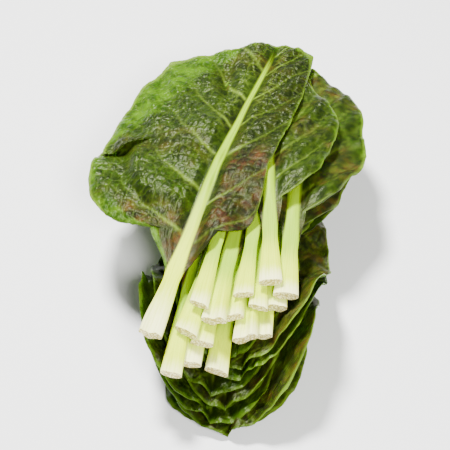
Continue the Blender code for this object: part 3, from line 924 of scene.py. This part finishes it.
def bladeColour(make, underside):
    plan = make.plan()
    mottle = make.noise(plan, leafFinish["mottle"], 5.0, 0.65)
    green = make.blend(make.ramp(mottle, 0.34, 0.66), leafColours["darkGreen"], leafColours["midGreen"])
    if underside:
        green = make.blend(0.80, green, leafColours["under"])
    blotch = make.ramp(make.noise(plan, leafFinish["blotches"], 4.0, 0.6), 0.36, 0.62)
    tint = make.maths("MULTIPLY", make.mask("purple"), make.maths("MULTIPLY_ADD", blotch, 0.6, 0.4))
    purple = make.blend(make.ramp(mottle, 0.4, 0.7), leafColours["purple"], leafColours["redBrown"])
    colour = make.blend(make.maths("MULTIPLY", tint, 0.35 if underside else 1.0), green, purple)
    lime = make.blend(make.ramp(mottle, 0.40, 0.60), leafColours["limeShade"], leafColours["lime"])
    spots = make.maths("SUBTRACT", make.noise(plan, leafFinish["limeSpots"], 4.0, 0.7), 0.5)
    spread = make.maths("MULTIPLY_ADD", spots, 1.1, make.mask("rim"))
    colour = make.blend(make.maths("MULTIPLY", make.ramp(spread, 0.15, 0.75), 0.9), colour, lime)
    for line in ("net", "vein"):
        share = make.maths("MULTIPLY", make.mask(line), leafFinish[line + "Share"])
        colour = make.blend(share, colour, leafColours["vein"])
    # painted shade: the colour is darkened where the painted shade mask is set
    return make.blend(make.mask("paintedShade"), colour, leafColours["paintedShadeFactor"], "MULTIPLY")


def leafMaterial(name, underside=False):
    make = Shader(name)
    plan, rib = make.plan(), make.mask("rib")
    colour = make.blend(rib, bladeColour(make, underside), stalkColour(make))

    skin = make.cells(plan, leafFinish["skinCells"])
    grain = make.noise(plan, leafFinish["skinGrain"], 2.0)
    rough = make.maths("MULTIPLY_ADD", grain, leafFinish["grainRoughness"], leafFinish["roughness"])
    rough = make.maths("MULTIPLY_ADD", make.mask("purple"), leafFinish["purpleRoughness"], rough)
    rough = make.maths("MULTIPLY_ADD", rib, leafFinish["ribRoughness"], rough)

    onBlade = make.maths("SUBTRACT", 1.0, rib)
    height = make.maths("MULTIPLY", make.maths("MULTIPLY_ADD", skin, 1.2, grain), onBlade)
    raised = 1.0 if underside else -0.6  # the veins stand out below and are sunk above
    for line in ("vein", "net"):
        height = make.maths("MULTIPLY_ADD", make.mask(line), leafFinish[line + "Height"] * raised, height)
    normal = make.bump(height, leafFinish["bump"], 0.8 if underside else 0.5)
    return make.finish(
        Base_Color=colour, Roughness=rough, Normal=normal, IOR=1.45, Specular_IOR_Level=0.24,
        Specular_Tint=(0.92, 1.0, 0.62, 1.0),
        Subsurface_Weight=0.08, Subsurface_Scale=0.003, Subsurface_Radius=(0.6, 1.0, 0.25),
    )


def cutMaterial():
    make = Shader("stalkCut")
    pith = make.cells(make.place(), 900.0, "F1")
    colour = make.blend(make.ramp(pith, 0.2, 0.7), leafColours["cut"], leafColours["cutShade"])
    return make.finish(
        Base_Color=colour, Roughness=0.55, Normal=make.bump(pith, 0.0003, 0.6),
        Subsurface_Weight=0.2, Subsurface_Scale=0.004, Subsurface_Radius=(1.0, 1.0, 0.6),
    )


def stackOffset(leaves):
    # the solids are centred over the origin, so the plan moves by the middle of its own box
    x, y = [], []
    for leaf in leaves:
        along, intoTip = leaf.rows(*leaf.grid[:3])
        flat = leaf.lay(along, intoTip, np.linspace(-1.0, 1.0, leaf.grid[3] + 1)[None, :])
        px, py = leaf.inStack(flat["x"], flat["y"])
        x += [px.min(), px.max()]
        y += [py.min(), py.max()]
    return (min(x) + max(x)) / 2.0, (min(y) + max(y)) / 2.0


draw = np.random.RandomState(stackPlan["seed"])
leaves = lowerLeaves(draw) + upperLeaves(draw)
offset = stackOffset(leaves)
print("leaves planned:", len(leaves))

finishes = [leafMaterial("leafTop"), leafMaterial("leafUnder", underside=True), cutMaterial()]
print("materials made:", len(finishes))

ceiling = Ceiling()
for number, leaf in reversed(list(enumerate(leaves))):
    leaf.seed = 3.0 + 7.0 * number
    leaf.offset = offset
    leaf.nested = number < stackPlan["lowerLeaves"]
    piece = makeFineLeaf(leaf, ceiling, finishes)
    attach(piece, "root")
    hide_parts(leaf.name)
    print(leaf.name, "dressed with", len(piece.data.polygons), "faces")


# Floor, light and camera

studio = {
    "floorColour": (0.88, 0.88, 0.87, 1.0),
    "worldStrength": 0.24,
    "keyPlace": (-0.24, 0.26, 1.06),
    "keySize": 0.22,
    "keyPower": 40.0,
    "frontPlace": (0.34, -0.86, 0.96),
    "frontSize": 0.34,
    "frontPower": 28.0,
    "azimuth": 7.0,
    "elevation": 47.0,
    "lens": 128.0,
    "distance": 0.95,
    "aim": (0.0, 0.0, 0.028),
}


def makeFloor():
    mesh = bmesh.new()
    bmesh.ops.create_grid(mesh, x_segments=1, y_segments=1, size=3.0)
    data = bpy.data.meshes.new("floor")
    mesh.to_mesh(data)
    mesh.free()
    floor = bpy.data.objects.new("floor", data)
    bpy.context.scene.collection.objects.link(floor)
    make = Shader("floorPaint")
    data.materials.append(make.finish(Base_Color=studio["floorColour"], Roughness=0.7))


def makeLight(name, place, size, power):
    lamp = bpy.data.lights.new(name, "AREA")
    lamp.shape = "DISK"
    lamp.size = size
    lamp.energy = power
    light = bpy.data.objects.new(name, lamp)
    light.location = place
    light.rotation_euler = (Vector(studio["aim"]) - Vector(place)).to_track_quat("-Z", "Y").to_euler()
    bpy.context.scene.collection.objects.link(light)


def makeCamera():
    camera = bpy.data.cameras.new("camera")
    camera.lens = studio["lens"]
    camera.clip_start = 0.01
    a, e = math.radians(studio["azimuth"]), math.radians(studio["elevation"])
    back = Vector((math.sin(a) * math.cos(e), -math.cos(a) * math.cos(e), math.sin(e)))
    view = bpy.data.objects.new("camera", camera)
    view.location = Vector(studio["aim"]) + back * studio["distance"]
    view.rotation_euler = (-back).to_track_quat("-Z", "Y").to_euler()
    bpy.context.scene.collection.objects.link(view)
    bpy.context.scene.camera = view


makeFloor()
makeLight("key", studio["keyPlace"], studio["keySize"], studio["keyPower"])
makeLight("front", studio["frontPlace"], studio["frontSize"], studio["frontPower"])
world = bpy.data.worlds.new("studioWorld")
bpy.context.scene.world = world
world.use_nodes = True
world.node_tree.nodes["Background"].inputs["Color"].default_value = (1.0, 1.0, 1.0, 1.0)
world.node_tree.nodes["Background"].inputs["Strength"].default_value = studio["worldStrength"]
makeCamera()
print("floor, light and camera made")
